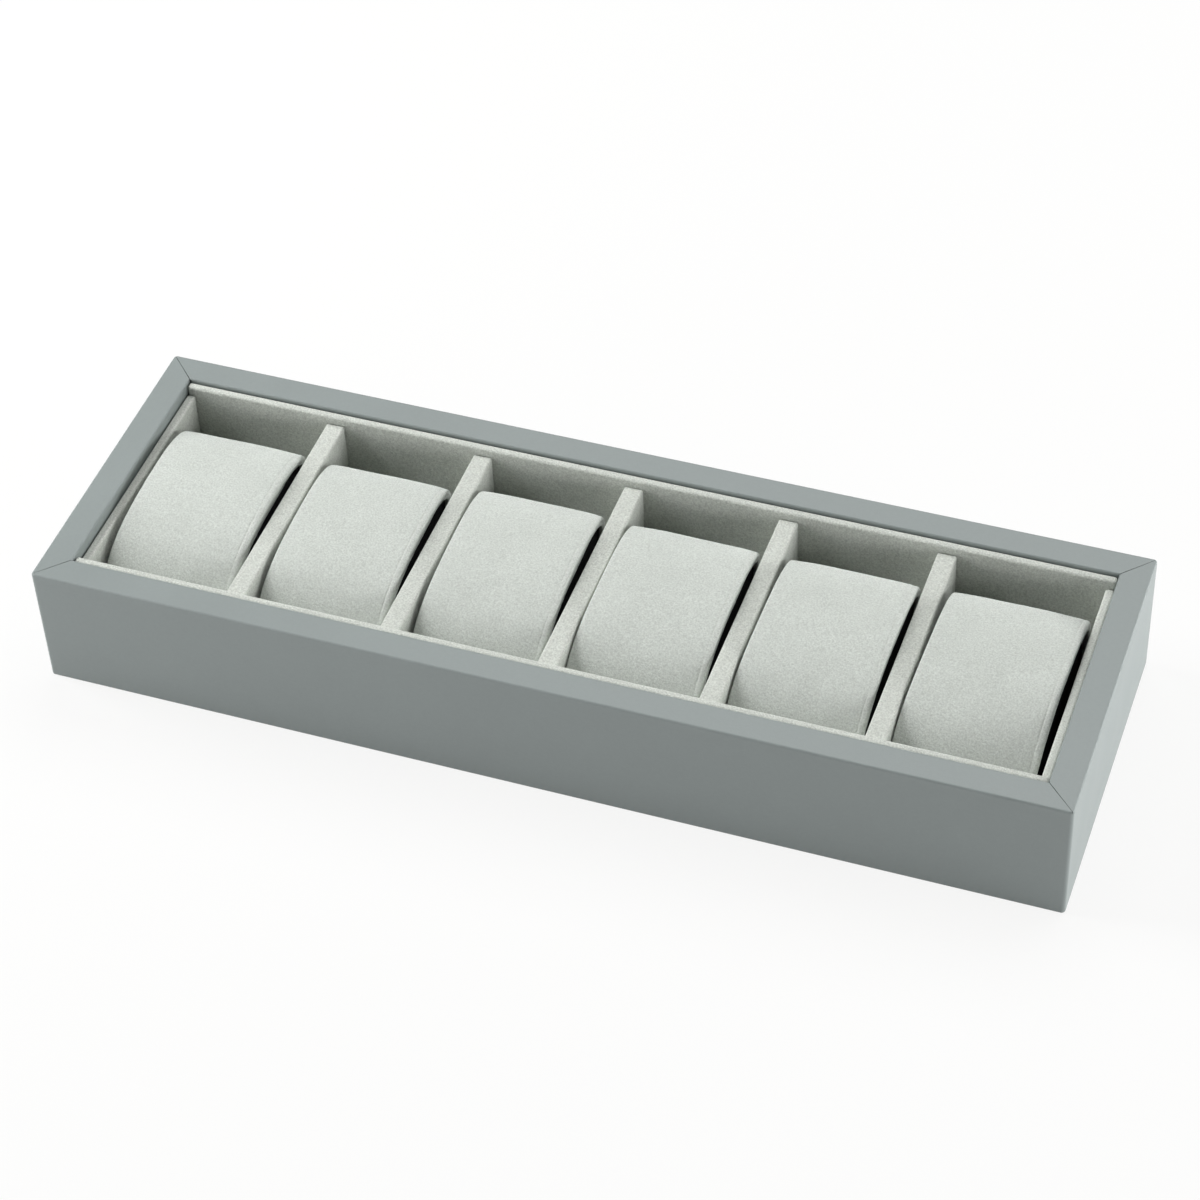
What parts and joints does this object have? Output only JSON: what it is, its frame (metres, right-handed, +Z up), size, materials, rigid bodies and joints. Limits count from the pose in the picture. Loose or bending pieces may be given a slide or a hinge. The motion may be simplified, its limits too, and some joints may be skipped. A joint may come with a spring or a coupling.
{
  "type": "watch display tray",
  "caption": "Long open tray with a mitred leatherette frame, suede-lined compartments and removable padded watch cushions, a strap well behind each cushion.",
  "frame": {"origin": "centre of the tray's footprint, on the surface it stands on", "axes": "+X along the tray's length to the right, +Y from the front to the back where the strap wells are, +Z up"},
  "size_m": [0.36, 0.1186, 0.0485],
  "materials": {
    "leatherette": "smooth grey leatherette, satin",
    "suede": "pale grey microfibre suede, matt, short nap",
    "foam": "dark open-cell foam, matt",
    "fibre_board": "raw fibre board",
    "felt": "dark grey felt, matt"
  },
  "bodies": {
    "root": {"frame_front": "leatherette", "frame_back": "leatherette", "frame_left": "leatherette", "frame_right": "leatherette", "base_board": "fibre_board", "base_felt": "felt", "floor_lining": "suede", "lining_front": "suede", "lining_back": "suede", "lining_left": "suede", "lining_right": "suede", "divider_1": "suede", "divider_2": "suede", "divider_3": "suede", "divider_4": "suede", "divider_5": "suede", "cushion_cover_1": "suede", "cushion_cover_2": "suede", "cushion_cover_3": "suede", "cushion_cover_4": "suede", "cushion_cover_5": "suede", "cushion_cover_6": "suede", "cushion_core_1": "foam", "cushion_core_2": "foam", "cushion_core_3": "foam", "cushion_core_4": "foam", "cushion_core_5": "foam", "cushion_core_6": "foam"}
  },
  "joints": []
}
